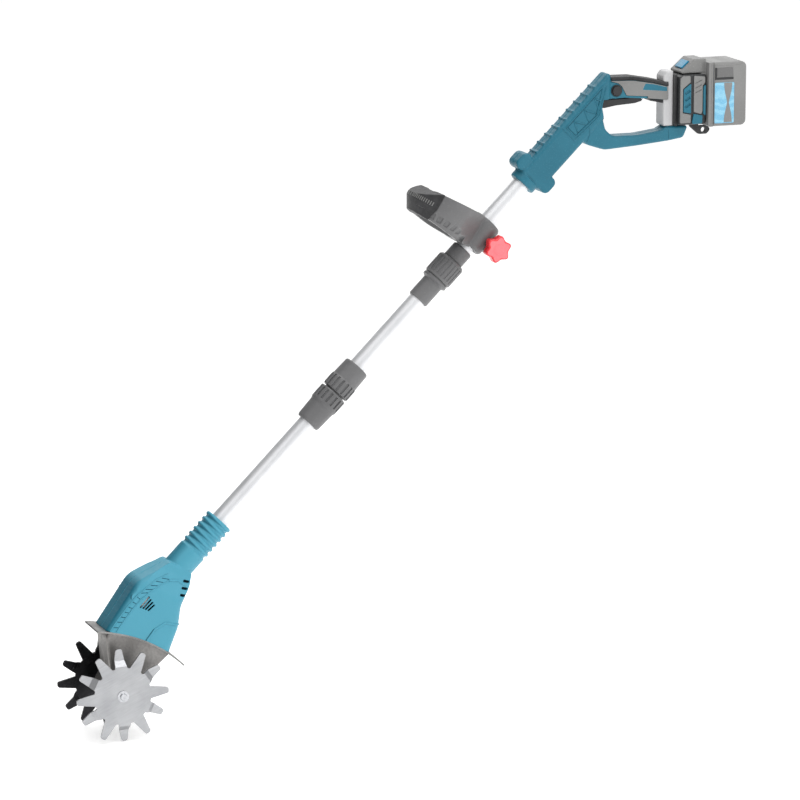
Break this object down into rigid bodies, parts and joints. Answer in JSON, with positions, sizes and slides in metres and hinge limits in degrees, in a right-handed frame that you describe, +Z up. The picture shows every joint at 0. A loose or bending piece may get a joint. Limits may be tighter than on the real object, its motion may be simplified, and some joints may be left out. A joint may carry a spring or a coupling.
{
  "type": "mini cultivator",
  "caption": "Battery mini cultivator: pistol-grip handle with D-shaped guard and slide-on battery, telescoping take-apart pole, clamped loop handle and angled motor head with twin tine discs.",
  "frame": {"origin": "centre of the rear hand grip", "axes": "+Z up; +X to the rear, toward the battery, so the head lies toward -X; +Y to the tool's right-hand side, along the tine axle; the pole rises at 45 degrees in the XZ plane"},
  "size_m": [1.1091, 0.121, 1.0046],
  "materials": {
    "teal_plastic": "satin moulded",
    "teal_trim": "gloss moulded",
    "black_rubber": "matt",
    "grey_plastic": "fine grain",
    "dark_plastic": "fine grain",
    "black_plastic": "satin",
    "light_plastic": "satin",
    "blue_plastic": "gloss",
    "label_blue": "printed film",
    "red_plastic": "gloss",
    "pole_aluminium": "drawn, clear anodised",
    "tine_steel": "ground",
    "bright_steel": "plated",
    "copper_brown": "wound copper",
    "board_green": "lacquered",
    "cell_wrap": "shrink film",
    "case_aluminium": "cast",
    "guard_metal": "powder coat"
  },
  "bodies": {
    "rear_handle": {"rear_housing_left": "teal_plastic", "rear_housing_right": "teal_plastic", "rear_housing_screws": "bright_steel", "grip_spine": "black_rubber", "grip_side_panels": "grey_plastic", "grip_inlays": "teal_trim", "trigger_pin": "bright_steel", "lock_button_bezel": "black_plastic", "switch_module": "black_plastic", "control_board": "board_green", "rear_bracket": "light_plastic", "mount_gasket": "black_rubber", "battery_mount": "black_plastic", "mount_side_panels": "grey_plastic", "mount_trims": "teal_trim", "terminal_block": "black_plastic", "strap_lug": "black_plastic", "upper_tube": "pole_aluminium", "lock_sleeve": "dark_plastic"},
    "trigger": {"trigger": "black_plastic"},
    "lock_button": {"lock_button": "black_plastic"},
    "battery": {"battery_front": "grey_plastic", "battery_case": "grey_plastic", "battery_cells": "cell_wrap", "battery_board": "board_green", "battery_label_panels": "label_blue"},
    "release_button": {"release_button": "blue_plastic"},
    "clamp_liner": {"clamp_liner": "black_plastic"},
    "loop_handle": {"loop_handle": "dark_plastic", "loop_grip": "black_rubber", "clamp_bolt": "bright_steel"},
    "clamp_knob": {"clamp_knob": "red_plastic"},
    "lock_nut": {"lock_nut": "dark_plastic"},
    "middle_pole": {"middle_sleeve": "dark_plastic", "slider_tube": "pole_aluminium", "middle_tube": "pole_aluminium", "retaining_ring": "bright_steel", "pole_plug": "black_plastic"},
    "coupling_nut": {"coupling_nut": "dark_plastic"},
    "lower_pole": {"coupling_socket": "dark_plastic", "lower_tube": "pole_aluminium", "pole_receptacle": "black_plastic", "head_housing_left": "teal_plastic", "head_housing_right": "teal_plastic", "head_screws": "bright_steel", "gear_case_left": "case_aluminium", "gear_case_right": "case_aluminium", "guard_plate": "guard_metal", "bearings": "bright_steel", "axle_seals": "black_rubber", "motor_can": "bright_steel"},
    "motor_rotor": {"motor_rotor": "copper_brown"},
    "drive_shaft": {"drive_shaft": "bright_steel", "spur_gear": "bright_steel"},
    "tines": {"tine_axle": "bright_steel", "crown_wheel": "bright_steel", "disc_hubs": "bright_steel", "disc_bolts": "bright_steel", "tine_disc_right": "tine_steel", "tine_disc_left": "tine_steel"}
  },
  "joints": [
    {"name": "trigger_pull", "type": "hinge", "parent": "rear_handle", "child": "trigger", "pos_m": [0.0045, 0, -0.0143], "axis": [0, 1, 0], "range_deg": [0, 8], "stiffness_Nm_per_rad": 1, "springref_deg": -11.46},
    {"name": "lock_button_press", "type": "slide", "parent": "rear_handle", "child": "lock_button", "axis": [0, 1, 0], "range_m": [0, 0.003], "stiffness_N_per_m": 800, "springref_m": -0.002},
    {"name": "battery_slide", "type": "slide", "parent": "rear_handle", "child": "battery", "axis": [0, 0, 1], "range_m": [0, 0.1]},
    {"name": "release_button_press", "type": "slide", "parent": "battery", "child": "release_button", "axis": [0.66, 0, -0.7513], "range_m": [0, 0.0025], "stiffness_N_per_m": 1000, "springref_m": -0.002},
    {"name": "clamp_slide", "type": "slide", "parent": "rear_handle", "child": "clamp_liner", "axis": [0.7071, 0, 0.7071], "range_m": [0, 0.065]},
    {"name": "loop_swing", "type": "hinge", "parent": "clamp_liner", "child": "loop_handle", "pos_m": [-0.26615, 0, -0.21326], "axis": [0.7071, 0, 0.7071], "range_deg": [-30, 30]},
    {"name": "knob_turn", "type": "hinge", "parent": "loop_handle", "child": "clamp_knob", "pos_m": [-0.24494, -0.03, -0.23448], "axis": [0, 1, 0], "range_deg": [-360, 0]},
    {"name": "lock_nut_turn", "type": "hinge", "parent": "rear_handle", "child": "lock_nut", "pos_m": [-0.3206, 0, -0.26771], "axis": [0.7071, 0, 0.7071], "range_deg": [0, 90]},
    {"name": "pole_extend", "type": "slide", "parent": "rear_handle", "child": "middle_pole", "axis": [-0.7071, 0, -0.7071], "range_m": [0, 0.15]},
    {"name": "coupling_nut_turn", "type": "hinge", "parent": "middle_pole", "child": "coupling_nut", "pos_m": [-0.48253, 0, -0.42964], "axis": [0.7071, 0, 0.7071], "range_deg": [0, 120]},
    {"name": "pole_detach", "type": "slide", "parent": "middle_pole", "child": "lower_pole", "axis": [-0.7071, 0, -0.7071], "range_m": [0, 0.07]},
    {"name": "tine_spin", "type": "hinge", "parent": "lower_pole", "child": "tines", "pos_m": [-0.86413, 0, -0.88664], "axis": [0, 1, 0], "continuous": true},
    {"name": "shaft_spin", "type": "hinge", "parent": "lower_pole", "child": "drive_shaft", "pos_m": [-0.83613, 0, -0.83814], "axis": [0.5, 0, 0.866], "continuous": true},
    {"name": "motor_spin", "type": "hinge", "parent": "lower_pole", "child": "motor_rotor", "pos_m": [-0.81191, 0, -0.7482], "axis": [0.5, 0, 0.866], "continuous": true}
  ],
  "couplings": [
    {"joint": "shaft_spin", "follows": "tine_spin", "ratio": -2.4},
    {"joint": "motor_spin", "follows": "tine_spin", "ratio": 12}
  ]
}
